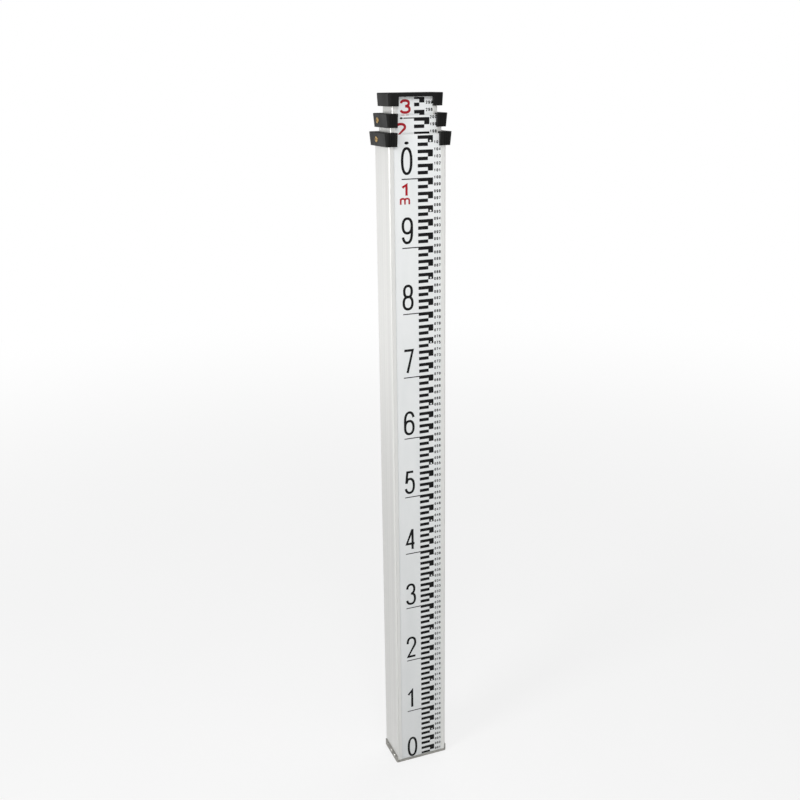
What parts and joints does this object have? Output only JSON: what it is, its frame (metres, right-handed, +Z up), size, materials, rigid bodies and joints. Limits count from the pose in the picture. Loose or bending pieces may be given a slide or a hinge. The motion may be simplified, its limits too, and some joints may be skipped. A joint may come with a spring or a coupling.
{
  "type": "leveling rod",
  "caption": "Telescopic aluminium leveling rod with a graduated front face, sliding sections, black end collars, lock bushes and a metal shoe.",
  "frame": {"origin": "centre of the shoe's underside, which is the zero of the scale", "axes": "+Z up the staff, graduated faces look along -Y, +X to the right seen from the front"},
  "size_m": [0.1038, 0.0718, 1.119],
  "materials": {
    "anodised_aluminium": "satin anodised extrusion",
    "printed_face": "white satin film with black and red print",
    "black_plastic": "moulded, slight sheen",
    "brass": "turned",
    "shoe_metal": "grey cast, lightly worn",
    "zinc_screw": "bright zinc",
    "rivet_aluminium": "plain",
    "spring_steel": "blued spring strip",
    "lock_button": "turned steel",
    "guide_plastic": "natural low-friction plastic",
    "buffer_rubber": "black rubber"
  },
  "bodies": {
    "bottom_section": {"outer_tube": "anodised_aluminium", "outer_face_strip": "printed_face", "base_shoe": "shoe_metal", "shoe_screws": "zinc_screw", "shoe_buffer": "buffer_rubber", "outer_collar": "black_plastic", "outer_collar_screws": "zinc_screw", "outer_lock_bush": "brass", "outer_guide_pads": "guide_plastic"},
    "middle_section": {"middle_tube": "anodised_aluminium", "middle_face_strip": "printed_face", "middle_foot_guide": "guide_plastic", "middle_foot_rivets": "rivet_aluminium", "middle_buffer": "buffer_rubber", "middle_lock_rivet": "rivet_aluminium", "middle_collar": "black_plastic", "middle_collar_screws": "zinc_screw", "middle_lock_bush": "brass", "middle_guide_pads": "guide_plastic"},
    "middle_lock": {"middle_lock_leaf": "spring_steel", "middle_lock_button": "lock_button"},
    "top_section": {"inner_tube": "anodised_aluminium", "inner_face_strip": "printed_face", "inner_foot_guide": "guide_plastic", "inner_foot_rivets": "rivet_aluminium", "inner_lock_rivet": "rivet_aluminium", "top_cap": "black_plastic", "cap_screws": "zinc_screw"},
    "top_lock": {"inner_lock_leaf": "spring_steel", "inner_lock_button": "lock_button"}
  },
  "joints": [
    {"name": "middle_slide", "type": "slide", "parent": "bottom_section", "child": "middle_section", "axis": [0, 0, 1], "range_m": [0, 0.915]},
    {"name": "top_slide", "type": "slide", "parent": "middle_section", "child": "top_section", "axis": [0, 0, 1], "range_m": [0, 0.97]},
    {"name": "middle_lock_press", "type": "hinge", "parent": "middle_section", "child": "middle_lock", "pos_m": [-0.0384, 0.005, 0.09505], "axis": [0, 1, 0], "range_deg": [0, 0.75], "stiffness_Nm_per_rad": 0.7, "springref_deg": -3.04},
    {"name": "top_lock_press", "type": "hinge", "parent": "top_section", "child": "top_lock", "pos_m": [-0.0337, 0.012, 0.06605], "axis": [0, 1, 0], "range_deg": [0, 0.75], "stiffness_Nm_per_rad": 0.7, "springref_deg": -3.04}
  ]
}
